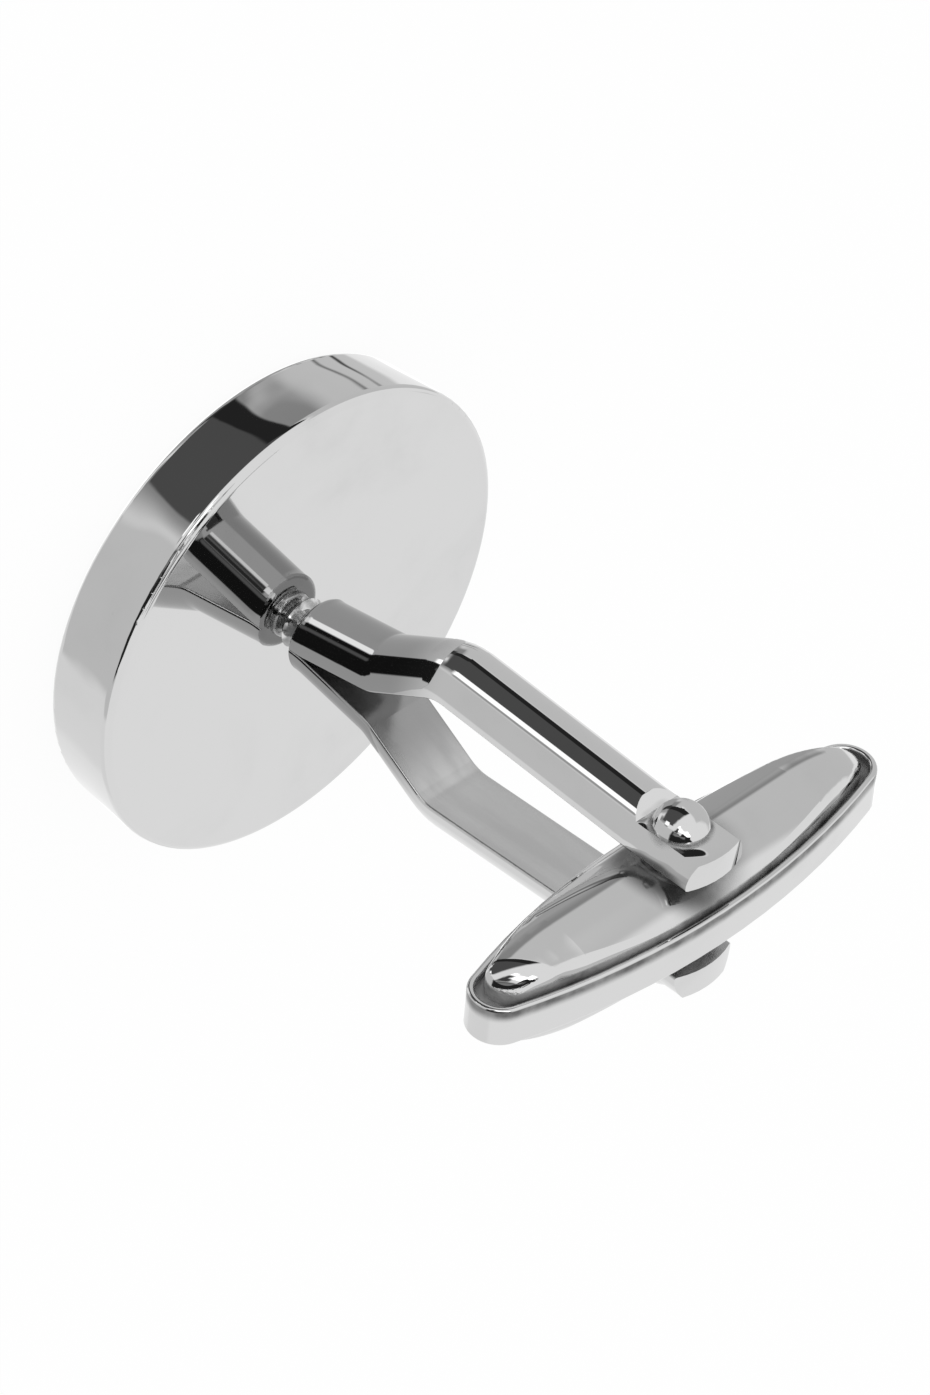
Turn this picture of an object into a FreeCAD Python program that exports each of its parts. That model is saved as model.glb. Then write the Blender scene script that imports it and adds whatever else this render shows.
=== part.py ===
"""Swivel-bar cufflink: round drum head, two half-round arms and a boat-shaped toggle on a rivet.

Frame: origin at the centre of the head's front face, +Z along the post towards the toggle,
+X along the toggle when it lies across the post, +Y along the rivet. Millimetres.
"""
import FreeCAD, Part
import math
import os
import Sketcher

from FreeCAD import Placement, Rotation, Vector

DIMENSIONS = [
    # Drum head, a dish with a plain disc let into its front.
    ("head_diameter", 18.0),
    ("head_taper", 0.25),
    ("head_height", 3.0),
    ("head_back_round", 0.3),
    ("head_front_round", 0.35),
    ("inlay_margin", 1.05),
    ("inlay_thickness", 0.9),
    ("inlay_clearance", 0.04),
    ("inlay_edge_round", 0.12),
    # Stud that carries the post on the back of the head.
    ("stud_length", 0.6),
    ("stud_foot_diameter", 1.9),
    ("stud_waist_diameter", 1.15),
    ("stud_collar_diameter", 1.7),
    ("stud_collar_height", 0.16),
    # Half-round arms: section first, then the corners of the flat inner face.
    ("arm_width", 2.64),
    ("arm_edge_round", 0.1),
    ("arm_root_round", 0.35),
    ("root_length", 0.5),
    ("neck_length", 3.3),
    ("neck_spread", 0.62),
    ("kink_length", 2.9),
    ("tip_spread", 1.92),
    ("arm_bow", 0.41),
    ("root_bend", 2.4),
    ("neck_bend", 1.75),
    ("kink_bend", 1.3),
    ("tip_bend", 4.0),
    # Arm tips with a flat round the rivet.
    ("pin_height", 20.27),
    ("tip_reach", 1.85),
    ("tip_round", 3.2),
    ("pad_thickness", 1.0),
    ("pad_margin", 0.14),
    ("pad_ramp", 0.45),
    # Rivet with a squared middle that the springs bear on.
    ("shank_diameter", 1.1),
    ("shank_clearance", 0.02),
    ("rivet_head_diameter", 1.92),
    ("rivet_head_rim", 0.16),
    ("rivet_head_crown", 0.74),
    ("cam_step", 0.19),
    ("cam_flat_depth", 0.07),
    # Friction washers between arms and toggle.
    ("washer_diameter", 2.3),
    ("washer_thickness", 0.18),
    ("washer_clearance", 0.03),
    # Toggle frame, a boat-shaped ring with a ledge inside its lip.
    ("toggle_length", 18.3),
    ("toggle_width", 4.5),
    ("toggle_tip_radius", 1.09),
    ("frame_height", 1.56),
    ("frame_lip", 0.26),
    ("ledge_height", 0.9),
    ("window_tip_gap", 1.25),
    ("window_gap", 0.85),
    ("window_tip_radius", 0.5),
    # Crowned covers on both sides of the frame.
    ("cover_tip_gap", 0.7),
    ("cover_gap", 0.35),
    ("cover_tip_radius", 0.8),
    ("cover_arm_gap", 0.14),
    ("crest_straight", 11.0),
    ("crest_fall", 0.7),
    ("crown_rise", 0.75),
    ("cover_edge_round", 0.3),
    ("cover_wall", 0.4),
    ("pivot_clearance", 0.05),
    ("seat_gap", 0.15),
    # Leaf springs either side of the squared middle.
    ("spring_thickness", 0.15),
    ("spring_clearance", 0.02),
    ("inner_gap", 0.08),
    # How far a cut runs past the face that it opens.
    ("overrun", 1.0),
]

doc = FreeCAD.newDocument("cufflink")
sheet = doc.addObject("Spreadsheet::Sheet", "dims")
for row, (alias, number) in enumerate(DIMENSIONS, start=1):
    sheet.set(f"A{row}", alias)
    sheet.set(f"B{row}", str(number))
    sheet.setAlias(f"B{row}", alias)
doc.recompute()


def value(expression):
    """Number that an expression of the sheet gives now."""
    return float(sheet.evalExpression(expression))


def origin_feature(body, role):
    """Plane or axis of a body's own origin."""
    return next(item for item in body.Origin.OriginFeatures if item.Role == role)


def new_body(label):
    body = doc.addObject("PartDesign::Body", label)
    body.Label = label
    return body


def new_sketch(body, role, name):
    """Sketch on one of the body's origin planes."""
    sketch = body.newObject("Sketcher::SketchObject", f"{body.Name}_{name}")
    sketch.AttachmentSupport = [(origin_feature(body, role), "")]
    sketch.MapMode = "FlatFace"
    return sketch


def bind_point(sketch, geometry, position, x, y):
    """Hold a point of the sketch at two expressions of the sheet."""
    for kind, expression in (("DistanceX", x), ("DistanceY", y)):
        index = sketch.addConstraint(
            Sketcher.Constraint(kind, -1, 1, geometry, position, value(expression)))
        sketch.setExpression(f"Constraints[{index}]", expression)


def bind_radius(sketch, geometry, expression):
    index = sketch.addConstraint(Sketcher.Constraint("Radius", geometry, value(expression)))
    sketch.setExpression(f"Constraints[{index}]", expression)


def join(sketch, first, first_end, second, second_end):
    sketch.addConstraint(Sketcher.Constraint("Coincident", first, first_end, second, second_end))


def flat_point(x, y):
    return Vector(value(x), value(y), 0)


def draw_polygon(sketch, corners):
    """Closed outline of straight lines through corners given as pairs of expressions."""
    points = [flat_point(x, y) for x, y in corners]
    first = sketch.GeometryCount
    count = len(points)
    for index, point in enumerate(points):
        sketch.addGeometry(Part.LineSegment(point, points[(index + 1) % count]), False)
    for index, (x, y) in enumerate(corners):
        bind_point(sketch, first + index, 1, x, y)
        join(sketch, first + index, 2, first + (index + 1) % count, 1)


def draw_circle(sketch, x, y, radius):
    index = sketch.addGeometry(
        Part.Circle(flat_point(x, y), Vector(0, 0, 1), value(radius)), False)
    bind_point(sketch, index, 3, x, y)
    bind_radius(sketch, index, radius)


def draw_half_boat(sketch, length, width, tip_radius):
    """Right half of a boat outline: two long arcs, a round tip, and a line along the middle."""
    half = value(length) / 2
    beam = value(width) / 2
    tip = value(tip_radius)
    side = ((half - tip) ** 2 + beam ** 2 - tip ** 2) / (2 * (beam - tip))
    reach = Vector(half - tip, side - beam, 0)
    touch = Vector(half - tip, 0, 0) + reach * (tip / reach.Length)
    mirror_touch = Vector(touch.x, -touch.y, 0)
    upper_start = Vector(0, beam, 0)
    lower_end = Vector(0, -beam, 0)
    along = reach * (side / reach.Length)
    bow = Vector(reach.x / 2, 0, 0)
    upper_middle = (bow + Vector(0, along.y, 0))
    upper_middle = upper_middle * (side / upper_middle.Length) - Vector(0, side - beam, 0)
    lower_middle = Vector(upper_middle.x, -upper_middle.y, 0)
    upper = sketch.addGeometry(Part.Arc(touch, upper_middle, upper_start), False)
    nose = sketch.addGeometry(Part.Arc(mirror_touch, Vector(half, 0, 0), touch), False)
    lower = sketch.addGeometry(Part.Arc(lower_end, lower_middle, mirror_touch), False)
    spine = sketch.addGeometry(Part.LineSegment(upper_start, lower_end), False)
    bind_point(sketch, spine, 1, "0", f"{width} / 2")
    bind_point(sketch, spine, 2, "0", f"-{width} / 2")
    bind_point(sketch, nose, 3, f"{length} / 2 - {tip_radius}", "0")
    bind_radius(sketch, nose, tip_radius)
    join(sketch, upper, 2, spine, 1)
    join(sketch, lower, 1, spine, 2)
    for arc in (upper, lower):
        sketch.addConstraint(Sketcher.Constraint("PointOnObject", arc, 3, -2))
    sketch.addConstraint(Sketcher.Constraint("Tangent", upper, 1, nose, 2))
    sketch.addConstraint(Sketcher.Constraint("Tangent", lower, 2, nose, 1))


def pad(body, sketch, length, midplane=False, reversed_way=False):
    feature = body.newObject("PartDesign::Pad", f"{sketch.Name}_pad")
    feature.Profile = sketch
    feature.setExpression("Length", length)
    feature.Midplane = midplane
    feature.Reversed = reversed_way
    doc.recompute()
    return feature


def pocket(body, sketch, length, midplane=False, reversed_way=False):
    """Cut, with a test that it takes something away."""
    before = body.Shape.Volume
    feature = body.newObject("PartDesign::Pocket", f"{sketch.Name}_pocket")
    feature.Profile = sketch
    feature.setExpression("Length", length)
    feature.Midplane = midplane
    feature.Reversed = reversed_way
    doc.recompute()
    if not body.Shape.Volume < before:
        raise RuntimeError(f"{feature.Name} cuts nothing")
    return feature


def revolve(body, sketch, axis_role):
    feature = body.newObject("PartDesign::Revolution", f"{sketch.Name}_turn")
    feature.Profile = sketch
    feature.ReferenceAxis = (origin_feature(body, axis_role), [""])
    feature.Angle = 360
    doc.recompute()
    return feature


def groove(body, sketch, axis, angle, reversed_way=False):
    """Turned cut, with a test that it takes something away."""
    before = body.Shape.Volume
    feature = body.newObject("PartDesign::Groove", f"{sketch.Name}_groove")
    feature.Profile = sketch
    feature.ReferenceAxis = axis
    feature.Angle = angle
    feature.Reversed = reversed_way
    doc.recompute()
    if not body.Shape.Volume < before:
        raise RuntimeError(f"{feature.Name} cuts nothing")
    return feature


def mirror_across_yz(body, feature):
    mirrored = body.newObject("PartDesign::Mirrored", f"{feature.Name}_mirror")
    mirrored.Originals = [feature]
    mirrored.MirrorPlane = (origin_feature(body, "YZ_Plane"), [""])
    body.Tip = mirrored
    doc.recompute()
    return mirrored


def round_edges(body, feature, chosen, radius):
    """Fillet the edges of the body for which chosen(edge) holds."""
    names = [f"Edge{index}" for index, edge in enumerate(feature.Shape.Edges, start=1) if chosen(edge)]
    if not names:
        raise RuntimeError(f"{body.Label} has no edge to round")
    fillet = body.newObject("PartDesign::Fillet", f"{feature.Name}_round")
    fillet.Base = (feature, names)
    fillet.setExpression("Radius", radius)
    doc.recompute()
    return fillet


def spans(edge, axis, level):
    """True for an edge that lies wholly at one level along an axis."""
    box = edge.BoundBox
    low, high = ((box.XMin, box.XMax), (box.YMin, box.YMax), (box.ZMin, box.ZMax))[axis]
    return max(abs(low - level), abs(high - level)) < TOLERANCE


def lift_to_pin(body):
    """Put a piece that is drawn round the rivet's centre at the rivet's height."""
    body.setExpression("Placement.Base.z", "dims.pin_height")


TOLERANCE = 1e-4
FULL_TURN = 360
TIP_TURN = 90
HALF_TURN = Placement(Vector(0, 0, 0), Rotation(Vector(0, 0, 1), 180))

# Shares of a size: stud's cone in its free length, lip's round in the lip, hollow in a cover's tip.
CONE_SHARE = 0.85
LIP_ROUND_SHARE = 0.42
HOLLOW_SHARE = 0.52

# Sizes that follow from the driving ones.
HEAD_FRONT_RADIUS = "(dims.head_diameter / 2 - dims.head_taper)"
INLAY_RADIUS = f"({HEAD_FRONT_RADIUS} - dims.inlay_margin)"
NECK_BASE = "(dims.head_height + dims.stud_length)"
ARM_CROWN = "(dims.arm_width / 2 + dims.arm_edge_round)"
PAD_START = "(dims.pin_height - dims.rivet_head_diameter / 2 - dims.pad_margin)"
TIP_END = "(dims.pin_height + dims.tip_reach)"
RIVET_SEAT = "(dims.tip_spread + dims.pad_thickness)"
HOLE_RADIUS = "(dims.shank_diameter / 2 + dims.shank_clearance)"
CAM_RADIUS = "(dims.shank_diameter / 2 + dims.cam_step)"
SEAT_LEVEL = "(dims.tip_spread - dims.washer_thickness - dims.washer_clearance)"
COVER_BASE = "(dims.ledge_height / 2)"
COVER_CREST = "(dims.tip_spread - dims.cover_arm_gap)"
HOLLOW_DEPTH = f"(({COVER_CREST} - dims.crest_fall - {COVER_BASE}) * {HOLLOW_SHARE})"
INNER_WIDTH = f"(2 * ({COVER_BASE} + {HOLLOW_DEPTH} - dims.inner_gap))"

# Boat outlines as length, width and tip radius.
FRAME_BOAT = ("dims.toggle_length", "dims.toggle_width", "dims.toggle_tip_radius")
LIP_BOAT = (
    "(dims.toggle_length - 2 * dims.frame_lip)",
    "(dims.toggle_width - 2 * dims.frame_lip)",
    "(dims.toggle_tip_radius - dims.frame_lip)",
)
WINDOW_BOAT = (
    "(dims.toggle_length - 2 * dims.window_tip_gap)",
    "(dims.toggle_width - 2 * dims.window_gap)",
    "dims.window_tip_radius",
)
COVER_BOAT = (
    "(dims.toggle_length - 2 * dims.cover_tip_gap)",
    "(dims.toggle_width - 2 * dims.cover_gap)",
    "dims.cover_tip_radius",
)
HOLLOW_BOAT = (
    f"({COVER_BOAT[0]} - 2 * dims.cover_wall)",
    f"({COVER_BOAT[1]} - 2 * dims.cover_wall)",
    "(dims.cover_tip_radius - dims.cover_wall)",
)


def make_head_cup():
    """Dish of the head, turned, with a recess in its front."""
    body = new_body("head_cup")
    sketch = new_sketch(body, "XZ_Plane", "profile")
    draw_polygon(sketch, [
        ("0", "dims.inlay_thickness"),
        (INLAY_RADIUS, "dims.inlay_thickness"),
        (INLAY_RADIUS, "0"),
        (HEAD_FRONT_RADIUS, "0"),
        ("dims.head_diameter / 2", "dims.head_height"),
        ("0", "dims.head_height"),
    ])
    turned = revolve(body, sketch, "Z_Axis")
    back = value("dims.head_height")
    turned = round_edges(body, turned, lambda edge: spans(edge, 2, back), "dims.head_back_round")
    rim = value(HEAD_FRONT_RADIUS)
    round_edges(
        body, turned,
        lambda edge: spans(edge, 2, 0) and abs(edge.BoundBox.XMax - rim) < TOLERANCE,
        "dims.head_front_round")
    return body


def make_face_inlay():
    """Plain disc in the front of the dish, flush with its rim."""
    body = new_body("face_inlay")
    sketch = new_sketch(body, "XY_Plane", "outline")
    draw_circle(sketch, "0", "0", f"{INLAY_RADIUS} - dims.inlay_clearance")
    disc = pad(body, sketch, "dims.inlay_thickness")
    round_edges(body, disc, lambda edge: spans(edge, 2, 0), "dims.inlay_edge_round")
    return body


def make_post_stud():
    """Waisted stud brazed between the head and the roots of the arms."""
    body = new_body("post_stud")
    sketch = new_sketch(body, "XZ_Plane", "profile")
    foot = "dims.stud_foot_diameter / 2"
    waist = "dims.stud_waist_diameter / 2"
    collar = "dims.stud_collar_diameter / 2"
    collar_base = f"{NECK_BASE} - dims.stud_collar_height"
    draw_polygon(sketch, [
        ("0", "dims.head_height"),
        (foot, "dims.head_height"),
        (waist, f"dims.head_height + (dims.stud_length - dims.stud_collar_height) * {CONE_SHARE}"),
        (waist, collar_base),
        (collar, collar_base),
        (collar, NECK_BASE),
        ("0", NECK_BASE),
    ])
    turned = revolve(body, sketch, "Z_Axis")
    level = value(collar_base)
    rim = value(collar)
    round_edges(
        body, turned,
        lambda edge: spans(edge, 2, level) and abs(edge.BoundBox.XMax - rim) < TOLERANCE,
        "dims.stud_collar_height / 2")
    return body


def draw_arm_section(sketch):
    """Half round with softened corners, its flat on the sketch's own X axis."""
    half = "dims.arm_width / 2"
    soft = "dims.arm_edge_round"
    inner = f"{half} - {soft}"
    reach = value(half)
    corner = value(soft)
    dip = corner * (1 - 0.5 ** 0.5)
    left = Vector(corner - reach, 0, 0)
    right = Vector(reach - corner, 0, 0)
    left_side = Vector(-reach, corner, 0)
    right_side = Vector(reach, corner, 0)
    flat = sketch.addGeometry(Part.LineSegment(left, right), False)
    right_corner = sketch.addGeometry(
        Part.Arc(right, Vector(reach - dip, dip, 0), right_side), False)
    crown = sketch.addGeometry(
        Part.Arc(right_side, Vector(0, reach + corner, 0), left_side), False)
    left_corner = sketch.addGeometry(
        Part.Arc(left_side, Vector(dip - reach, dip, 0), left), False)
    bind_point(sketch, flat, 1, f"-({inner})", "0")
    bind_point(sketch, flat, 2, inner, "0")
    level = sketch.addConstraint(Sketcher.Constraint("DistanceY", -1, 1, crown, 3, corner))
    sketch.setExpression(f"Constraints[{level}]", soft)
    for corner_arc in (right_corner, left_corner):
        bind_radius(sketch, corner_arc, soft)
    around = [flat, right_corner, crown, left_corner, flat]
    for first, second in zip(around, around[1:]):
        sketch.addConstraint(Sketcher.Constraint("Tangent", first, 2, second, 1))


def tangent_arc(before, corner, after, radius):
    """Arc that rounds a corner between two straight runs."""
    back = (before - corner).normalize()
    ahead = (after - corner).normalize()
    half_angle = back.getAngle(ahead) / 2
    inward = (back + ahead).normalize()
    trim = radius / math.tan(half_angle)
    middle = corner + inward * (radius / math.sin(half_angle) - radius)
    return Part.Arc(corner + back * trim, middle, corner + ahead * trim)


def nearer_end(sketch, geometry, point):
    """Start or end of a curve in the sketch, whichever lies at the point."""
    distances = [(sketch.getPoint(geometry, end) - point).Length for end in (1, 2)]
    return 1 if distances[0] < distances[1] else 2


def draw_arm_path(sketch):
    """Inner face of an arm, seen along the toggle: straight runs joined by tangent arcs."""
    kink = f"{NECK_BASE} + dims.root_length + dims.neck_length"
    ends = [
        ("0", NECK_BASE),
        ("dims.tip_spread", f"{TIP_END} + dims.overrun"),
    ]
    corners = [
        ("0", f"{NECK_BASE} + dims.root_length"),
        ("dims.neck_spread", kink),
        ("dims.tip_spread + dims.arm_bow", f"{kink} + dims.kink_length"),
        ("dims.tip_spread", PAD_START),
    ]
    bends = ["dims.root_bend", "dims.neck_bend", "dims.kink_bend", "dims.tip_bend"]
    stations = [flat_point(*pair) for pair in [ends[0]] + corners + [ends[1]]]
    arcs = [
        tangent_arc(stations[index], stations[index + 1], stations[index + 2], value(bend))
        for index, bend in enumerate(bends)
    ]
    run_starts = [stations[0]] + [arc.value(arc.LastParameter) for arc in arcs]
    run_ends = [arc.value(arc.FirstParameter) for arc in arcs] + [stations[-1]]
    runs = []
    turns = []
    for index, (first, last) in enumerate(zip(run_starts, run_ends)):
        runs.append(sketch.addGeometry(Part.LineSegment(first, last), False))
        if index < len(arcs):
            turns.append(sketch.addGeometry(arcs[index], False))
    bind_point(sketch, runs[0], 1, *ends[0])
    bind_point(sketch, runs[-1], 2, *ends[1])
    for index, pair in enumerate(corners):
        mark = sketch.addGeometry(Part.Point(stations[index + 1]), True)
        bind_point(sketch, mark, 1, *pair)
        for run in (runs[index], runs[index + 1]):
            sketch.addConstraint(Sketcher.Constraint("PointOnObject", mark, 1, run))
        bind_radius(sketch, turns[index], bends[index])
        near = nearer_end(sketch, turns[index], run_ends[index])
        far = 3 - near
        sketch.addConstraint(Sketcher.Constraint("Tangent", runs[index], 2, turns[index], near))
        sketch.addConstraint(Sketcher.Constraint("Tangent", turns[index], far, runs[index + 1], 1))


def draw_root_corner(sketch):
    """Ring section that rounds the root end of an arm about the post's axis."""
    outer = ARM_CROWN
    inner = f"{outer} - dims.arm_root_round"
    top = f"{NECK_BASE} + dims.arm_root_round"
    radius = value("dims.arm_root_round")
    foot = flat_point(inner, NECK_BASE)
    side = flat_point(outer, top)
    middle = flat_point(inner, top) + Vector(1, -1, 0).normalize() * radius
    curve = sketch.addGeometry(Part.Arc(foot, middle, side), False)
    far_foot = flat_point(f"{outer} + dims.overrun", f"{NECK_BASE} - dims.overrun")
    far_side = flat_point(f"{outer} + dims.overrun", top)
    low_foot = flat_point(inner, f"{NECK_BASE} - dims.overrun")
    points = [side, far_side, far_foot, low_foot, foot]
    lines = [
        sketch.addGeometry(Part.LineSegment(first, second), False)
        for first, second in zip(points, points[1:])
    ]
    bind_point(sketch, curve, 3, inner, top)
    bind_radius(sketch, curve, "dims.arm_root_round")
    bind_point(sketch, lines[1], 1, f"{outer} + dims.overrun", top)
    bind_point(sketch, lines[2], 1, f"{outer} + dims.overrun", f"{NECK_BASE} - dims.overrun")
    bind_point(sketch, lines[3], 1, inner, f"{NECK_BASE} - dims.overrun")
    for first, second in zip(lines, lines[1:]):
        join(sketch, first, 2, second, 1)
    join(sketch, curve, 2, lines[0], 1)
    join(sketch, lines[-1], 2, curve, 1)
    sketch.addConstraint(Sketcher.Constraint("Horizontal", lines[0]))
    sketch.addConstraint(Sketcher.Constraint("Vertical", lines[-1]))


def draw_tip_trim(sketch):
    """Region beyond the shallow arc that ends an arm."""
    side = ARM_CROWN
    centre = f"{TIP_END} - dims.tip_round"
    top = f"{TIP_END} + dims.overrun * 2"
    sweep = value("dims.tip_round")
    shoulder = value(centre) + math.sqrt(sweep ** 2 - value(side) ** 2)
    left = Vector(-value(side), shoulder, 0)
    right = Vector(value(side), shoulder, 0)
    curve = sketch.addGeometry(Part.Arc(right, flat_point("0", TIP_END), left), False)
    points = [left, flat_point(f"-({side})", top), flat_point(side, top), right]
    lines = [
        sketch.addGeometry(Part.LineSegment(first, second), False)
        for first, second in zip(points, points[1:])
    ]
    bind_point(sketch, curve, 3, "0", centre)
    bind_radius(sketch, curve, "dims.tip_round")
    bind_point(sketch, lines[1], 1, f"-({side})", top)
    bind_point(sketch, lines[1], 2, side, top)
    for first, second in zip(lines, lines[1:]):
        join(sketch, first, 2, second, 1)
    join(sketch, curve, 2, lines[0], 1)
    join(sketch, lines[2], 2, curve, 1)
    sketch.addConstraint(Sketcher.Constraint("Vertical", lines[0]))
    sketch.addConstraint(Sketcher.Constraint("Vertical", lines[2]))


def make_arm(label):
    """Half-round arm, bent from the root to the tip, with a flat and a hole for the rivet."""
    body = new_body(label)
    section = new_sketch(body, "XY_Plane", "section")
    section.setExpression("AttachmentOffset.Base.z", NECK_BASE)
    draw_arm_section(section)
    path = new_sketch(body, "YZ_Plane", "path")
    draw_arm_path(path)
    doc.recompute()
    pipe = body.newObject("PartDesign::AdditivePipe", f"{label}_bar")
    pipe.Profile = section
    pipe.Spine = (path, [f"Edge{index}" for index in range(1, len(path.Shape.Edges) + 1)])
    doc.recompute()
    across = "dims.arm_width + dims.overrun"
    root = new_sketch(body, "XZ_Plane", "root_corner")
    draw_root_corner(root)
    groove(body, root, (origin_feature(body, "Z_Axis"), [""]), FULL_TURN)
    crown = f"dims.tip_spread + {ARM_CROWN}"
    end = f"{TIP_END} + dims.overrun * 2"
    step = new_sketch(body, "YZ_Plane", "pad_step")
    draw_polygon(step, [
        (RIVET_SEAT, PAD_START),
        (crown, f"{PAD_START} - dims.pad_ramp"),
        (f"{crown} + dims.overrun", f"{PAD_START} - dims.pad_ramp"),
        (f"{crown} + dims.overrun", end),
        (RIVET_SEAT, end),
    ])
    pocket(body, step, across, midplane=True)
    trim = new_sketch(body, "XZ_Plane", "tip_trim")
    draw_tip_trim(trim)
    reach = f"({crown} + dims.overrun) * 2"
    pocket(body, trim, reach, midplane=True)
    hole = new_sketch(body, "XZ_Plane", "rivet_hole")
    draw_circle(hole, "0", "dims.pin_height", HOLE_RADIUS)
    pocket(body, hole, reach, midplane=True)
    return body


def make_pivot_rivet():
    """Rivet with a domed head at each end and a squared middle."""
    body = new_body("pivot_rivet")
    shank = "dims.shank_diameter / 2"
    head = "dims.rivet_head_diameter / 2"
    rim = f"({RIVET_SEAT} + dims.rivet_head_rim)"
    top = f"({rim} + dims.rivet_head_crown)"
    dome = f"(({head}) ^ 2 + dims.rivet_head_crown ^ 2) / (2 * dims.rivet_head_crown)"
    sketch = new_sketch(body, "XY_Plane", "profile")
    lean = math.asin(value(head) / value(dome)) / 2
    bulge = Vector(math.sin(lean), math.cos(lean), 0) * value(dome)
    centre = flat_point("0", f"{top} - {dome}")
    upper = sketch.addGeometry(
        Part.Arc(flat_point(head, rim), centre + bulge, flat_point("0", top)), False)
    lower = sketch.addGeometry(
        Part.Arc(flat_point("0", f"-{top}"), -centre + Vector(bulge.x, -bulge.y, 0),
                 flat_point(head, f"-{rim}")), False)
    corners = [
        (head, f"-{rim}"), (head, f"-{RIVET_SEAT}"), (shank, f"-{RIVET_SEAT}"),
        (shank, RIVET_SEAT), (head, RIVET_SEAT), (head, rim),
    ]
    points = [flat_point(*pair) for pair in corners]
    lines = [
        sketch.addGeometry(Part.LineSegment(first, second), False)
        for first, second in zip(points, points[1:])
    ]
    axis = sketch.addGeometry(
        Part.LineSegment(flat_point("0", top), flat_point("0", f"-{top}")), False)
    for line, pair in zip(lines, corners):
        bind_point(sketch, line, 1, *pair)
    bind_point(sketch, lines[-1], 2, *corners[-1])
    bind_point(sketch, axis, 1, "0", top)
    bind_point(sketch, axis, 2, "0", f"-{top}")
    for first, second in zip(lines, lines[1:]):
        join(sketch, first, 2, second, 1)
    join(sketch, lines[-1], 2, upper, 1)
    join(sketch, upper, 2, axis, 1)
    join(sketch, axis, 2, lower, 1)
    join(sketch, lower, 2, lines[0], 1)
    for arc in (upper, lower):
        bind_radius(sketch, arc, dome)
    revolve(body, sketch, "Y_Axis")
    cam = new_sketch(body, "XZ_Plane", "cam")
    draw_circle(cam, "0", "0", CAM_RADIUS)
    pad(body, cam, INNER_WIDTH, midplane=True)
    flats = new_sketch(body, "XZ_Plane", "cam_flats")
    for half in (f"({CAM_RADIUS} - dims.cam_flat_depth)", f"({CAM_RADIUS} + dims.overrun)"):
        draw_polygon(flats, [
            (half, half), (f"-{half}", half), (f"-{half}", f"-{half}"), (half, f"-{half}"),
        ])
    pocket(body, flats, INNER_WIDTH, midplane=True)
    lift_to_pin(body)
    return body


def make_washer(label):
    """Friction washer against the inner face of an arm."""
    body = new_body(label)
    sketch = new_sketch(body, "XZ_Plane", "ring")
    sketch.setExpression("AttachmentOffset.Base.z", "-dims.tip_spread")
    draw_circle(sketch, "0", "0", "dims.washer_diameter / 2")
    draw_circle(sketch, "0", "0", HOLE_RADIUS)
    pad(body, sketch, "dims.washer_thickness")
    lift_to_pin(body)
    return body


def boat_sketch(body, name, level, length, width, tip_radius):
    """Half boat outline on a plane square to the rivet."""
    sketch = new_sketch(body, "XZ_Plane", name)
    sketch.setExpression("AttachmentOffset.Base.z", f"-({level})")
    draw_half_boat(sketch, length, width, tip_radius)
    return sketch


def make_toggle_frame():
    """Boat-shaped ring with a lip on both sides of an inner ledge."""
    body = new_body("toggle_frame")
    outline = boat_sketch(body, "outline", "0", *FRAME_BOAT)
    mirror_across_yz(body, pad(body, outline, "dims.frame_height", midplane=True))
    window = boat_sketch(body, "window", "0", *WINDOW_BOAT)
    mirror_across_yz(body, pocket(body, window, "dims.frame_height * 2", midplane=True))
    for name, sign, reversed_way in (("front_recess", "", False), ("rear_recess", "-", True)):
        recess = boat_sketch(body, name, f"{sign}{COVER_BASE}", *LIP_BOAT)
        cut = pocket(body, recess, "dims.frame_height", reversed_way=reversed_way)
        feature = mirror_across_yz(body, cut)
    face = value("dims.frame_height / 2")
    round_edges(
        body, feature,
        lambda edge: spans(edge, 1, face) or spans(edge, 1, -face),
        f"dims.frame_lip * {LIP_ROUND_SHARE}")
    lift_to_pin(body)
    return body


def draw_crown_trim(sketch):
    """Region above the crown of a cover, seen along the toggle."""
    half = f"({COVER_BOAT[1]} / 2)"
    radius = f"({half} ^ 2 + dims.crown_rise ^ 2) / (2 * dims.crown_rise)"
    far = f"({half} + dims.overrun)"
    shoulder = f"{COVER_CREST} - dims.crown_rise"
    above = f"{COVER_CREST} + dims.overrun"
    corners = [
        (shoulder, half), (shoulder, far), (above, far),
        (above, f"-{far}"), (shoulder, f"-{far}"), (shoulder, f"-{half}"),
    ]
    points = [flat_point(*pair) for pair in corners]
    lines = [
        sketch.addGeometry(Part.LineSegment(first, second), False)
        for first, second in zip(points, points[1:])
    ]
    crown = sketch.addGeometry(
        Part.Arc(points[-1], flat_point(COVER_CREST, "0"), points[0]), False)
    for line, pair in zip(lines, corners):
        bind_point(sketch, line, 1, *pair)
    bind_point(sketch, lines[-1], 2, *corners[-1])
    for first, second in zip(lines, lines[1:]):
        join(sketch, first, 2, second, 1)
    join(sketch, lines[-1], 2, crown, 1)
    join(sketch, crown, 2, lines[0], 1)
    bind_radius(sketch, crown, radius)


def draw_tip_axis(sketch):
    """Axis of the curve by which the crest falls from its straight middle to a tip."""
    half = f"({COVER_BOAT[1]} / 2)"
    run = f"(({COVER_BOAT[0]} - dims.crest_straight) / 2)"
    sweep = f"({run} ^ 2 + dims.crest_fall ^ 2) / (2 * dims.crest_fall)"
    ends = [(f"{COVER_CREST} - {sweep}", f"{sign}{half}") for sign in ("-", "")]
    axis = sketch.addGeometry(Part.LineSegment(*[flat_point(*pair) for pair in ends]), True)
    for position, pair in enumerate(ends, start=1):
        bind_point(sketch, axis, position, *pair)


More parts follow.
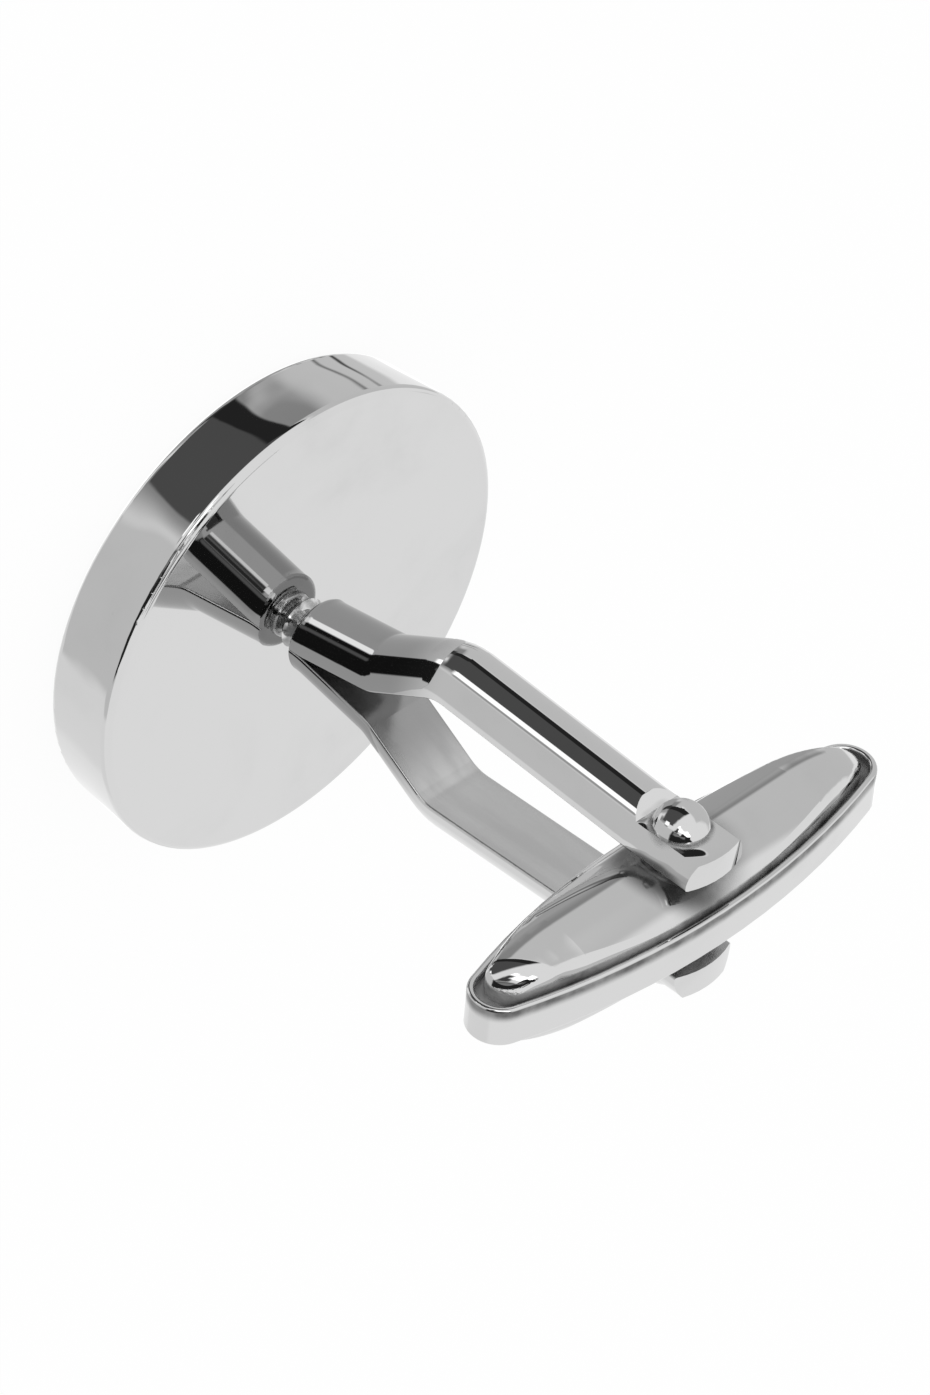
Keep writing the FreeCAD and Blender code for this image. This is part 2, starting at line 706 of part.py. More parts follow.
def make_cover(label):
    """Crowned shell that stands on the frame's ledge, with a seat and a hole for the rivet."""
    body = new_body(label)
    outline = boat_sketch(body, "outline", COVER_BASE, *COVER_BOAT)
    block = pad(body, outline, f"{COVER_CREST} - {COVER_BASE}", reversed_way=True)
    mirror_across_yz(body, block)
    trim = new_sketch(body, "YZ_Plane", "crown_trim")
    draw_crown_trim(trim)
    pocket(body, trim, f"{COVER_BOAT[0]} + dims.overrun", midplane=True)
    tip = new_sketch(body, "YZ_Plane", "tip_trim")
    tip.setExpression("AttachmentOffset.Base.z", "dims.crest_straight / 2")
    draw_crown_trim(tip)
    draw_tip_axis(tip)
    fall = groove(body, tip, (tip, ["Axis0"]), TIP_TURN, reversed_way=True)
    crowned = mirror_across_yz(body, fall)
    foot = value(COVER_BASE) + TOLERANCE
    round_edges(
        body, crowned,
        lambda edge: edge.BoundBox.YMin > foot and edge.BoundBox.XLength > TOLERANCE,
        "dims.cover_edge_round")
    hollow = boat_sketch(body, "hollow", COVER_BASE, *HOLLOW_BOAT)
    mirror_across_yz(body, pocket(body, hollow, HOLLOW_DEPTH))
    seat = new_sketch(body, "XZ_Plane", "seat")
    seat.setExpression("AttachmentOffset.Base.z", f"-({SEAT_LEVEL})")
    draw_circle(seat, "0", "0", "dims.washer_diameter / 2 + dims.seat_gap")
    pocket(body, seat, "dims.overrun")
    hole = new_sketch(body, "XZ_Plane", "pivot_hole")
    draw_circle(hole, "0", "0", "dims.shank_diameter / 2 + dims.pivot_clearance")
    pocket(body, hole, f"({COVER_CREST} + dims.overrun) * 2", midplane=True)
    lift_to_pin(body)
    return body


def make_spring(label, way):
    """Flat leaf beside the squared middle, its ends close to the frame's window."""
    leaf = doc.addObject("Part::Box", label)
    leaf.Label = label
    inner = f"({CAM_RADIUS} + dims.spring_clearance)"
    outer = f"({inner} + dims.spring_thickness)"
    length, width, tip = WINDOW_BOAT
    bow = f"({length} / 2 - {tip})"
    side = f"(({bow} ^ 2 + ({width} / 2) ^ 2 - {tip} ^ 2) / ({width} - 2 * {tip}))"
    drop = f"({outer} + dims.spring_clearance + {side} - {width} / 2)"
    span = f"sqrt({side} ^ 2 - {drop} ^ 2)"
    leaf.setExpression("Length", f"2 * {span}")
    leaf.setExpression("Width", INNER_WIDTH)
    leaf.setExpression("Height", "dims.spring_thickness")
    leaf.setExpression("Placement.Base.x", f"-{span}")
    leaf.setExpression("Placement.Base.y", f"-{INNER_WIDTH} / 2")
    level = inner if way > 0 else f"-{outer}"
    leaf.setExpression("Placement.Base.z", f"dims.pin_height + {level}")
    return leaf


pieces = [
    make_head_cup(),
    make_face_inlay(),
    make_post_stud(),
    make_arm("front_arm"),
    make_arm("rear_arm"),
    make_pivot_rivet(),
    make_washer("front_washer"),
    make_washer("rear_washer"),
    make_toggle_frame(),
    make_cover("front_cover"),
    make_cover("rear_cover"),
    make_spring("head_side_spring", -1),
    make_spring("outer_spring", 1),
]
for piece in pieces:
    if piece.Label in ("rear_arm", "rear_washer", "rear_cover"):
        piece.Placement = HALF_TURN.multiply(piece.Placement)
doc.recompute()

for item in doc.Objects:
    if "Invalid" in item.State or "Error" in item.State:
        raise RuntimeError(f"{item.Name} failed: {item.State}")
for piece in pieces:
    if piece.Shape.isNull() or not piece.Shape.isValid():
        raise RuntimeError(f"{piece.Label} has no valid shape")

os.makedirs("parts", exist_ok=True)
for piece in pieces:
    piece.Shape.exportStep(f"parts/{piece.Label}.step")
    box = piece.Shape.BoundBox
    print(f"{piece.Label}: {len(piece.Shape.Solids)} solid, {piece.Shape.Volume:.2f} mm3, "
          f"z {box.ZMin:.2f} to {box.ZMax:.2f}, y {box.YMin:.2f} to {box.YMax:.2f}")
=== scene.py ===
import math
from functools import cached_property

import bpy
from mathutils import Matrix, Vector


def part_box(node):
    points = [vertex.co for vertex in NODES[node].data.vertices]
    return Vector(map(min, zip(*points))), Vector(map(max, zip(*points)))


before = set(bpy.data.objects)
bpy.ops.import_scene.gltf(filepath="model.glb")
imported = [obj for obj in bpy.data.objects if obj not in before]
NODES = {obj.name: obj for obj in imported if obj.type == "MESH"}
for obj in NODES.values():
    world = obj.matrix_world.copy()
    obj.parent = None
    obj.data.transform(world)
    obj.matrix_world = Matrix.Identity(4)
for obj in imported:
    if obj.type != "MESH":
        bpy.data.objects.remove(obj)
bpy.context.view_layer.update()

SCENE = bpy.context.scene
MM = 0.001

# Height of the rivet's axis over the floor.
RIVET_LEVEL = sum(corner[2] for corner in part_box("pivot_rivet")) / 2 / MM

# Drum head: radius and height of its back, taper of its side, round of its back edge and the circle that
# the round is centred on.
HEAD_RADIUS = 9.0
HEAD_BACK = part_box("head_cup")[1][2] / MM
HEAD_TAPER = 0.25
HEAD_ROUND = 0.3
SIDE_SLOPE = HEAD_TAPER / HEAD_BACK
ROUND_CENTRE = HEAD_RADIUS - HEAD_ROUND * (SIDE_SLOPE + math.hypot(1, SIDE_SLOPE))

# Shares of light that the metals give back.
PLATE = 0.67
WASHER_STEEL = 0.35
SPRING_STEEL = 0.45

FLOAT = "NodeSocketFloat"
VECTOR = "NodeSocketVector"
COLOUR = "NodeSocketColor"


def grey(value):
    return (value, value, value, 1.0)


def put(tree, kind, **settings):
    node = tree.nodes.new(kind)
    for name, setting in settings.items():
        setattr(node, name, setting)
    return node


def feed(tree, socket, source):
    """Link an output to an input, or set the input's own value."""
    if isinstance(source, bpy.types.NodeSocket):
        tree.links.new(source, socket)
    else:
        socket.default_value = source


def calc(tree, operation, *sources):
    node = put(tree, "ShaderNodeMath", operation=operation)
    for socket, source in zip(node.inputs, sources):
        feed(tree, socket, source)
    return node.outputs[0]


def ramp(tree, source, low, high, at_low=0.0, at_high=1.0):
    """Smooth step of a value between two levels."""
    node = put(tree, "ShaderNodeMapRange", interpolation_type="SMOOTHSTEP")
    feed(tree, node.inputs["Value"], source)
    feed(tree, node.inputs["From Min"], low)
    feed(tree, node.inputs["From Max"], high)
    feed(tree, node.inputs["To Min"], at_low)
    feed(tree, node.inputs["To Max"], at_high)
    return node.outputs["Result"]


def fade(tree, source, low, high, full=1.0):
    """Smooth step down to nothing."""
    return ramp(tree, source, low, high, full, 0.0)


def tint(tree, factor, first, second):
    """Mix of two colours. The node's colour sockets share their names with others, so they go by number."""
    node = put(tree, "ShaderNodeMix", data_type="RGBA")
    feed(tree, node.inputs["Factor"], factor)
    feed(tree, node.inputs[6], first)
    feed(tree, node.inputs[7], second)
    return node.outputs[2]


def axes(tree, vector):
    """X, Y and Z of a vector."""
    node = put(tree, "ShaderNodeSeparateXYZ")
    feed(tree, node.inputs[0], vector)
    return node.outputs


def stretch(tree, place, shares):
    node = put(tree, "ShaderNodeVectorMath", operation="MULTIPLY")
    feed(tree, node.inputs[0], place)
    feed(tree, node.inputs[1], shares)
    return node.outputs[0]


def noise(tree, place, scale, **settings):
    """Soft noise; settings are the node's other inputs."""
    node = put(tree, "ShaderNodeTexNoise")
    feed(tree, node.inputs["Vector"], place)
    feed(tree, node.inputs["Scale"], scale)
    for name, setting in settings.items():
        feed(tree, node.inputs[name], setting)
    return node.outputs["Fac"]


def new_group(name, inputs, outputs):
    tree = bpy.data.node_groups.new(name, "ShaderNodeTree")
    for label, kind, default in inputs:
        socket = tree.interface.new_socket(label, in_out="INPUT", socket_type=kind)
        if default is not None:
            socket.default_value = default
    for label, kind in outputs:
        tree.interface.new_socket(label, in_out="OUTPUT", socket_type=kind)
    return tree, put(tree, "NodeGroupInput").outputs, put(tree, "NodeGroupOutput").inputs


def place_group(tree, group, **sources):
    node = put(tree, "ShaderNodeGroup", node_tree=group)
    for name, source in sources.items():
        feed(tree, node.inputs[name], source)
    return node.outputs


def make_hand_marks():
    """Soft smears that handling leaves on a mirror finish."""
    tree, given, out = new_group(
        "hand_marks", [("Place", VECTOR, None), ("Size", FLOAT, 4.0)], [("Smear", FLOAT)])
    patch_levels = (0.45, 0.75)
    finer, grain_levels, grain_least = 5.0, (0.3, 0.8), 0.35
    scale = calc(tree, "DIVIDE", 1.0, given["Size"])
    broad = noise(tree, given["Place"], scale, Detail=4.0, Distortion=0.8)
    fine = noise(tree, given["Place"], calc(tree, "MULTIPLY", scale, finer), Detail=3.0)
    patch = ramp(tree, broad, *patch_levels)
    grain = ramp(tree, fine, *grain_levels, at_low=grain_least)
    feed(tree, out["Smear"], calc(tree, "MULTIPLY", patch, grain))
    return tree


def make_hairlines():
    """Hair-fine polishing scratches, as thin curved lines with gaps."""
    tree, given, out = new_group(
        "hairlines",
        [("Place", VECTOR, None), ("Size", FLOAT, 2.0), ("Stretch", VECTOR, (1.0, 1.0, 1.0)),
         ("Width", FLOAT, 0.012)],
        [("Line", FLOAT)])
    middle, gap_scale, gap_levels = 0.5, 0.55, (0.5, 0.62)
    spread = stretch(tree, given["Place"], given["Stretch"])
    wander = noise(tree, spread, calc(tree, "DIVIDE", 1.0, given["Size"]), Detail=1.0)
    away = calc(tree, "ABSOLUTE", calc(tree, "SUBTRACT", wander, middle))
    line = fade(tree, away, 0.0, given["Width"])
    kept = ramp(tree, noise(tree, given["Place"], gap_scale), *gap_levels)
    feed(tree, out["Line"], calc(tree, "MULTIPLY", line, kept))
    return tree


def make_ripple():
    """Slow waves that hand polishing leaves, in millimetres of height."""
    tree, given, out = new_group(
        "polish_ripple",
        [("Place", VECTOR, None), ("Length", FLOAT, 3.0), ("Height", FLOAT, 0.002)],
        [("Rise", FLOAT)])
    wave = noise(tree, given["Place"], calc(tree, "DIVIDE", 1.0, given["Length"]), Detail=0.5)
    feed(tree, out["Rise"], calc(tree, "MULTIPLY", wave, given["Height"]))
    return tree


def make_crevice_shade():
    """Painted shade: darkening in corners from ambient occlusion, broken up by mottle. Its reach is in
    metres.
    """
    tree, given, out = new_group(
        "crevice_shade",
        [("Place", VECTOR, None), ("Reach", FLOAT, 0.4 * MM), ("Mottle", FLOAT, 0.35)],
        [("CreviceShade", FLOAT)])
    open_levels, mottle_levels, mottle_least = (0.35, 0.8), (0.3, 0.65), 0.45
    shade = put(tree, "ShaderNodeAmbientOcclusion", samples=8)
    feed(tree, shade.inputs["Distance"], given["Reach"])
    mottle = noise(tree, given["Place"], calc(tree, "DIVIDE", 1.0, given["Mottle"]), Detail=3.0)
    mottle = ramp(tree, mottle, *mottle_levels, at_low=mottle_least)
    # Painted shade: the deeper the occlusion, the darker the colour.
    closed = fade(tree, shade.outputs["AO"], *open_levels)
    feed(tree, out["CreviceShade"], calc(tree, "MULTIPLY", closed, mottle))
    return tree


def make_specks():
    """Scattered dust grains and pin pits."""
    tree, given, out = new_group(
        "specks",
        [("Place", VECTOR, None), ("Spacing", FLOAT, 1.5), ("Grain", FLOAT, 0.03)],
        [("Speck", FLOAT)])
    bare_share, least_size = 0.6, 0.4
    cell = put(tree, "ShaderNodeTexVoronoi", feature="F1")
    feed(tree, cell.inputs["Vector"], given["Place"])
    feed(tree, cell.inputs["Scale"], calc(tree, "DIVIDE", 1.0, given["Spacing"]))
    pick = put(tree, "ShaderNodeSeparateColor")
    feed(tree, pick.inputs[0], cell.outputs["Color"])
    chosen = calc(tree, "GREATER_THAN", pick.outputs[0], bare_share)
    reach = calc(tree, "DIVIDE", given["Grain"], given["Spacing"])
    size = calc(tree, "MULTIPLY", reach, calc(tree, "ADD", pick.outputs[1], least_size))
    dot = fade(tree, cell.outputs["Distance"], 0.0, size)
    feed(tree, out["Speck"], calc(tree, "MULTIPLY", dot, chosen))
    return tree


def make_residue_and_shade():
    """Patchy dark, dull marks, which stand for dried polish and for painted shade in recesses and where parts
    meet.
    """
    tree, given, out = new_group(
        "residue_and_shade",
        [("Place", VECTOR, None), ("Where", FLOAT, 0.0), ("Patch", FLOAT, 0.45)],
        [("ResidueShade", FLOAT), ("Tone", COLOUR)])
    patch_levels, thinnest = (0.3, 0.65), 0.55
    broader, tone_levels, dark, pale = 0.4, (0.35, 0.65), grey(0.12), grey(0.33)
    scale = calc(tree, "DIVIDE", 1.0, given["Patch"])
    patch = noise(tree, given["Place"], scale, Detail=4.0)
    shade = noise(tree, given["Place"], calc(tree, "MULTIPLY", scale, broader), Detail=3.0)
    thick = ramp(tree, patch, *patch_levels, at_low=thinnest)
    feed(tree, out["ResidueShade"], calc(tree, "MULTIPLY", given["Where"], thick))
    feed(tree, out["Tone"], tint(tree, ramp(tree, shade, *tone_levels), dark, pale))
    return tree


def make_rivet_distance():
    """Distance from the rivet's axis."""
    tree, given, out = new_group("rivet_distance", [("Place", VECTOR, None)], [("Distance", FLOAT)])
    at = axes(tree, given["Place"])
    level = calc(tree, "SUBTRACT", at["Z"], RIVET_LEVEL)
    square = calc(tree, "MULTIPLY_ADD", at["X"], at["X"], calc(tree, "MULTIPLY", level, level))
    feed(tree, out["Distance"], calc(tree, "SQRT", square))
    return tree


HAND_MARKS = make_hand_marks()
HAIRLINES = make_hairlines()
RIPPLE = make_ripple()
CREVICE_SHADE = make_crevice_shade()
SPECKS = make_specks()
RESIDUE_AND_SHADE = make_residue_and_shade()
RIVET_DISTANCE = make_rivet_distance()


class Finish:
    """Material in the making: the place on the piece, and what has been gathered for its shader."""

    def __init__(self, name):
        self.material = bpy.data.materials.new(name)
        self.material.use_nodes = True
        self.tree = self.material.node_tree
        self.shader = self.tree.nodes["Principled BSDF"]
        where = put(self.tree, "ShaderNodeTexCoord")
        size = put(self.tree, "ShaderNodeVectorMath", operation="SCALE")
        feed(self.tree, size.inputs[0], where.outputs["Object"])
        size.inputs["Scale"].default_value = 1 / MM
        self.place = size.outputs[0]
        self.normal = where.outputs["Normal"]
        self.metallic = 1.0
        self.lie = None

    @cached_property
    def at(self):
        return axes(self.tree, self.place)

    @cached_property
    def facing(self):
        return axes(self.tree, self.normal)

    @cached_property
    def over_rivet(self):
        return calc(self.tree, "SUBTRACT", self.at["Z"], RIVET_LEVEL)

    @cached_property
    def from_rivet(self):
        return self.group(RIVET_DISTANCE)["Distance"]

    def group(self, group, **sources):
        return place_group(self.tree, group, Place=self.place, **sources)

    def darken(self, where, tone):
        self.colour = tint(self.tree, where, self.colour, tone)

    def roughen(self, where, amount):
        self.rough = calc(self.tree, "MULTIPLY_ADD", where, amount, self.rough)

    def raise_by(self, rise):
        """Height in millimetres."""
        self.height = calc(self.tree, "ADD", self.height, rise)

    def leave_residue_and_shade(self, where, dulling):
        """Dark marks that are less metal, at the places given: dried polish, with painted shade in its
        colour.
        """
        darkening = self.group(RESIDUE_AND_SHADE, Where=where)
        # The dark tone paints shade into the colour as well as residue.
        self.darken(darkening["ResidueShade"], darkening["Tone"])
        self.metallic = calc(self.tree, "MULTIPLY_ADD", darkening["ResidueShade"], -dulling, 1.0)
        return darkening["ResidueShade"]

    def close(self):
        """Hand everything to the shader."""
        bump = put(self.tree, "ShaderNodeBump")
        bump.inputs["Distance"].default_value = MM
        feed(self.tree, bump.inputs["Height"], self.height)
        if self.lie:
            feed(self.tree, bump.inputs["Normal"], self.lie)
        feed(self.tree, self.shader.inputs["Base Color"], self.colour)
        feed(self.tree, self.shader.inputs["Metallic"], self.metallic)
        feed(self.tree, self.shader.inputs["Roughness"], self.rough)
        feed(self.tree, self.shader.inputs["Normal"], bump.outputs["Normal"])
        return self.material


def bright_plate(name, smooth=0.03, ripple=0.0015, wave=3.5, smear_size=4.0):
    """Bright plated steel, with hand marks, polishing lines, slow waves and pin specks.

    smooth: roughness of the clean metal.
    ripple, wave: height and length of the slow waves.
    smear_size: how broad the hand marks are.
    """
    smeared, smear_rough = 0.94, 0.04
    line_stretch, line_rough, line_depth = (1.0, 1.0, 0.12), 0.03, 0.00012
    speck_share, speck_tone = 0.5, grey(0.35)
    finish = Finish(name)
    tree = finish.tree
    smear = finish.group(HAND_MARKS, Size=smear_size)["Smear"]
    line = finish.group(HAIRLINES, Stretch=line_stretch)["Line"]
    speck = finish.group(SPECKS)["Speck"]
    rise = finish.group(RIPPLE, Length=wave, Height=ripple)["Rise"]
    finish.colour = tint(tree, smear, grey(PLATE), grey(PLATE * smeared))
    finish.darken(calc(tree, "MULTIPLY", speck, speck_share), speck_tone)
    finish.rough = smooth
    finish.roughen(smear, smear_rough)
    finish.roughen(line, line_rough)
    finish.height = calc(tree, "MULTIPLY_ADD", line, -line_depth, rise)
    return finish


def darken_and_dull(finish, where):
    """Dark, dull marks on bright plate: dried polish, with painted shade in its colour."""
    dulling, roughness = 0.9, 0.5
    finish.roughen(finish.leave_residue_and_shade(where, dulling), roughness)


def turned_lie(finish):
    """True lie of the drum's turned side, rounded back edge and flat back, without the mesh's facets.

    Near the front the mesh's own normal stays.
    """
    least_spread, front_height = 0.001, 2 * HEAD_ROUND
    tree, at = finish.tree, finish.at
    square = calc(tree, "MULTIPLY_ADD", at["X"], at["X"], calc(tree, "MULTIPLY", at["Y"], at["Y"]))
    spread = calc(tree, "SQRT", square)
    outward = calc(tree, "MAXIMUM", calc(tree, "SUBTRACT", spread, ROUND_CENTRE), 0.0)
    upward = calc(tree, "MAXIMUM", calc(tree, "SUBTRACT", at["Z"], HEAD_BACK - HEAD_ROUND),
                  calc(tree, "MULTIPLY", outward, -SIDE_SLOPE))
    share = calc(tree, "DIVIDE", outward, calc(tree, "MAXIMUM", spread, least_spread))
    turned = put(tree, "ShaderNodeCombineXYZ")
    feed(tree, turned.inputs["X"], calc(tree, "MULTIPLY", at["X"], share))
    feed(tree, turned.inputs["Y"], calc(tree, "MULTIPLY", at["Y"], share))
    feed(tree, turned.inputs["Z"], upward)
    unit = put(tree, "ShaderNodeVectorMath", operation="NORMALIZE")
    feed(tree, unit.inputs[0], turned.outputs[0])
    front = put(tree, "ShaderNodeMix", data_type="VECTOR")
    feed(tree, front.inputs["Factor"], calc(tree, "LESS_THAN", at["Z"], front_height))
    feed(tree, front.inputs[4], unit.outputs[0])
    feed(tree, front.inputs[5], finish.normal)
    lie = put(tree, "ShaderNodeVectorTransform", vector_type="NORMAL", convert_from="OBJECT",
              convert_to="WORLD")
    feed(tree, lie.inputs[0], front.outputs[1])
    return lie.outputs[0]


def dress_drum():
    """Mirror drum, with slow waves on its turned side."""
    wave_length, wave_height, facing_back = 2.6, 0.13, (0.5, 0.8)
    finish = bright_plate("mirror_drum", smooth=0.025, ripple=0.002, wave=5.0, smear_size=6.0)
    tree = finish.tree
    side = fade(tree, calc(tree, "ABSOLUTE", finish.facing["Z"]), *facing_back)
    slow = finish.group(RIPPLE, Length=wave_length, Height=wave_height)["Rise"]
    finish.raise_by(calc(tree, "MULTIPLY", slow, side))
    finish.lie = turned_lie(finish)
    return finish.close()


def dress_face():
    """Mirror disc in the front of the head."""
    return bright_plate("mirror_face", ripple=0.001, wave=6.0, smear_size=6.0).close()


def dress_stud():
    """Stud with beads of filler metal that ran round it, darker and duller between them."""
    bead_scale, bead_smooth, bead_height = 2.2, 0.8, 0.12
    between_beads, most_polish, dulling = (0.3, 0.6), 0.8, 0.6
    smooth, smear_size, smeared, smear_rough = 0.12, 0.8, 0.8, 0.1
    finish = Finish("brazed_stud")
    tree = finish.tree
    bead = put(tree, "ShaderNodeTexVoronoi", feature="SMOOTH_F1")
    feed(tree, bead.inputs["Vector"], finish.place)
    bead.inputs["Scale"].default_value = bead_scale
    bead.inputs["Smoothness"].default_value = bead_smooth
    smear = finish.group(HAND_MARKS, Size=smear_size)["Smear"]
    finish.colour = tint(tree, smear, grey(PLATE), grey(PLATE * smeared))
    between = ramp(tree, bead.outputs["Distance"], *between_beads, at_high=most_polish)
    # Darker and duller in the creases between the beads.
    finish.leave_residue_and_shade(between, dulling)
    finish.rough = smooth
    finish.roughen(smear, smear_rough)
    finish.height = calc(tree, "MULTIPLY", bead.outputs["Distance"], -bead_height)
    return finish.close()


def dress_arms():
    """Bright outside, satin inside, painted darker towards the root as a painted reflection of shade, with a
    burr round the rivet and painted shade at the rivet's foot.
    """
    facing_inside = (-0.75, -0.55)
    satin_stretch, satin_least, cloud_levels = (1.6, 1.0, 0.16), 0.82, (0.3, 0.7)
    satin_rough, cloud_rough, satin_depth = 0.12, 0.10, 0.004
    burr_reach, burr_height, burr_length, burr_uneven = (1.75, 2.4), 0.08, 1.5, 1.6
    root_shade_levels, root_shade_share = (8.2, 10.6), 0.56
    rivet_foot_shade = (0.98, 1.16)
    finish = bright_plate("bright_arm")
    tree = finish.tree
    outside = calc(tree, "MULTIPLY", finish.facing["Y"], calc(tree, "SIGN", finish.at["Y"]))
    inside = fade(tree, outside, *facing_inside)
    brushed = noise(tree, stretch(tree, finish.place, satin_stretch), 1.0, Detail=3.0, Roughness=0.45)
    cloud = ramp(tree, brushed, *cloud_levels)
    finish.darken(inside, tint(tree, cloud, grey(PLATE * satin_least), grey(PLATE)))
    finish.roughen(calc(tree, "MULTIPLY", inside, cloud), cloud_rough)
    finish.roughen(inside, satin_rough)
    finish.raise_by(calc(tree, "MULTIPLY", calc(tree, "MULTIPLY", brushed, satin_depth), inside))
    uneven = finish.group(RIPPLE, Length=burr_length, Height=burr_uneven)["Rise"]
    away = calc(tree, "ADD", finish.from_rivet, uneven)
    finish.raise_by(fade(tree, away, *burr_reach, full=burr_height))
    # Painted reflection of shade: the arms are darker towards the root.
    finish.darken(fade(tree, finish.at["Z"], *root_shade_levels), grey(PLATE * root_shade_share))
    # Painted shade round the rivet's foot, with the dullness of dried polish.
    darken_and_dull(finish, fade(tree, finish.from_rivet, *rivet_foot_shade))
    return finish.close()


def dress_rivet():
    """Bright rivet with its crown struck a little flat."""
    flattened = 0.2
    finish = bright_plate("bright_rivet", ripple=0.002, wave=1.0, smear_size=1.2)
    square = calc(finish.tree, "MULTIPLY", finish.from_rivet, finish.from_rivet)
    finish.raise_by(calc(finish.tree, "MULTIPLY", square, flattened))
    return finish.close()


def dress_frame():
    """Bright band, with a painted dark reflection towards the lip on its +Y side, and darker and duller
    inside the lip.
    """
    reflection_begins, lip_begins = (0.22, 0.60), (0.69, 0.74)
    reflection_scale, reflection_levels, reflection_least = 1.6, (0.3, 0.7), 0.72
    reflection_tone, reflection_rough = grey(0.11), 0.12
    facing_inside, wall_top = (-0.4, -0.1), (0.68, 0.75)
    facing_flat, ledge_top = (0.6, 0.8), (0.55, 0.65)
    finish = bright_plate("bright_frame")
    tree, at, facing = finish.tree, finish.at, finish.facing
    # Painted reflection: a dark, patchy band under the lip on the +Y side.
    lip_reflection = calc(tree, "MULTIPLY", ramp(tree, at["Y"], *reflection_begins), fade(tree, at["Y"], *lip_begins))
    patchy = noise(tree, finish.place, reflection_scale, Detail=5.0)
    patchy = ramp(tree, patchy, *reflection_levels, at_low=reflection_least)
    dull = calc(tree, "MULTIPLY", lip_reflection, patchy)
    finish.darken(dull, reflection_tone)
    finish.roughen(dull, reflection_rough)
    outward = calc(tree, "MULTIPLY_ADD", facing["X"], at["X"],
                   calc(tree, "MULTIPLY", facing["Z"], finish.over_rivet))
    height = calc(tree, "ABSOLUTE", at["Y"])
    wall = calc(tree, "MULTIPLY", fade(tree, outward, *facing_inside), fade(tree, height, *wall_top))
    flat = ramp(tree, calc(tree, "ABSOLUTE", facing["Y"]), *facing_flat)
    ledge = calc(tree, "MULTIPLY", flat, fade(tree, height, *ledge_top))
    # Darker and duller on the wall and ledge inside the lip.
    darken_and_dull(finish, calc(tree, "MAXIMUM", wall, ledge))
    return finish.close()


def polish_crest(finish):
    """Shine that runs straight along a cover's crest and turns aslant round its tip."""
    start, end = 5.5, 7.2
    lift, tip_drop, tip_slant = 0.076, 0.31, 0.6
    tree = finish.tree

    def beyond(distance):
        return calc(tree, "MAXIMUM", calc(tree, "SUBTRACT", distance, end), 0.0)

    along = calc(tree, "ABSOLUTE", finish.at["X"])
    fall = calc(tree, "MAXIMUM", calc(tree, "SUBTRACT", along, start), 0.0)
    fall = calc(tree, "MINIMUM", fall, end - start)
    rise = calc(tree, "MULTIPLY", calc(tree, "MULTIPLY", fall, fall), lift)
    rise = calc(tree, "MULTIPLY_ADD", beyond(along), 2 * lift * (end - start), rise)
    past = beyond(calc(tree, "MULTIPLY_ADD", finish.over_rivet, tip_slant, along))
    rise = calc(tree, "MULTIPLY_ADD", calc(tree, "MULTIPLY", past, past), -tip_drop, rise)
    finish.raise_by(rise)


def dress_covers():
    """Bright covers, with painted shade beside the arm, and dark, dull marks of painted shade at the lip and
    round the washer's seat.
    """
    arm_shade_tone, arm_shade_reach, arm_shade_share = grey(0.06), (1.7, 2.6), 0.9
    arm_side_levels, far_side_shade = (-0.6, 1.0), 0.3
    foot_levels, seat_edge = (0.93, 1.04), (1.38, 1.5)
    ring_shade_reach, ring_shade_share = (1.4, 2.3), 0.5
    finish = bright_plate("bright_cover", ripple=0.001, wave=4.0)
    tree, away = finish.tree, finish.from_rivet
    polish_crest(finish)
    # Painted shade of the arm on the cover beside it, strongest towards -X.
    beside_arm = calc(tree, "MULTIPLY", fade(tree, away, *arm_shade_reach, full=arm_shade_share),
                      ramp(tree, finish.at["X"], *arm_side_levels, at_low=1.0, at_high=far_side_shade))
    finish.darken(beside_arm, arm_shade_tone)
    # Painted shade along the cover's foot by the lip, and in a ring round the washer's seat.
    foot = fade(tree, calc(tree, "ABSOLUTE", finish.at["Y"]), *foot_levels)
    ring_shade = fade(tree, away, *ring_shade_reach, full=ring_shade_share)
    seat = calc(tree, "MAXIMUM", fade(tree, away, *seat_edge), ring_shade)
    darken_and_dull(finish, calc(tree, "MAXIMUM", foot, seat))
    return finish.close()


def dress_steel(name, shade, smooth):
    """Unplated steel of the washers and springs, with a drawn grain and painted shade in their corners."""
    grain_size, grain_stretch, grain_width, grain_depth = 0.6, (0.1, 1.0, 1.0), 0.03, 0.002
    smear_size, smeared, smear_rough = 1.5, 0.8, 0.15
    painted_shade_share, painted_shade_tone = 0.6, grey(0.06)
    finish = Finish(name)
    tree = finish.tree
    smear = finish.group(HAND_MARKS, Size=smear_size)["Smear"]
    grain = finish.group(HAIRLINES, Size=grain_size, Stretch=grain_stretch, Width=grain_width)["Line"]
    occluded = finish.group(CREVICE_SHADE)["CreviceShade"]
    finish.colour = tint(tree, smear, grey(shade), grey(shade * smeared))
    # Painted shade darkens the steel in its corners.
    finish.darken(calc(tree, "MULTIPLY", occluded, painted_shade_share), painted_shade_tone)
    finish.rough = smooth
    finish.roughen(smear, smear_rough)
    finish.height = calc(tree, "MULTIPLY", grain, -grain_depth)
    return finish.close()


FINISHES = {
    ("head_cup",): dress_drum(),
    ("face_inlay",): dress_face(),
    ("post_stud",): dress_stud(),
    ("front_arm", "rear_arm"): dress_arms(),
    ("pivot_rivet",): dress_rivet(),
    ("toggle_frame",): dress_frame(),
    ("front_cover", "rear_cover"): dress_covers(),
    ("front_washer", "rear_washer"): dress_steel("dull_washer", WASHER_STEEL, smooth=0.25),
    ("head_side_spring", "outer_spring"): dress_steel("spring_steel", SPRING_STEEL, smooth=0.2),
}
for pieces, material in FINISHES.items():
    for name in pieces:
        slots = NODES[name].data.materials
        slots.clear()
        slots.append(material)


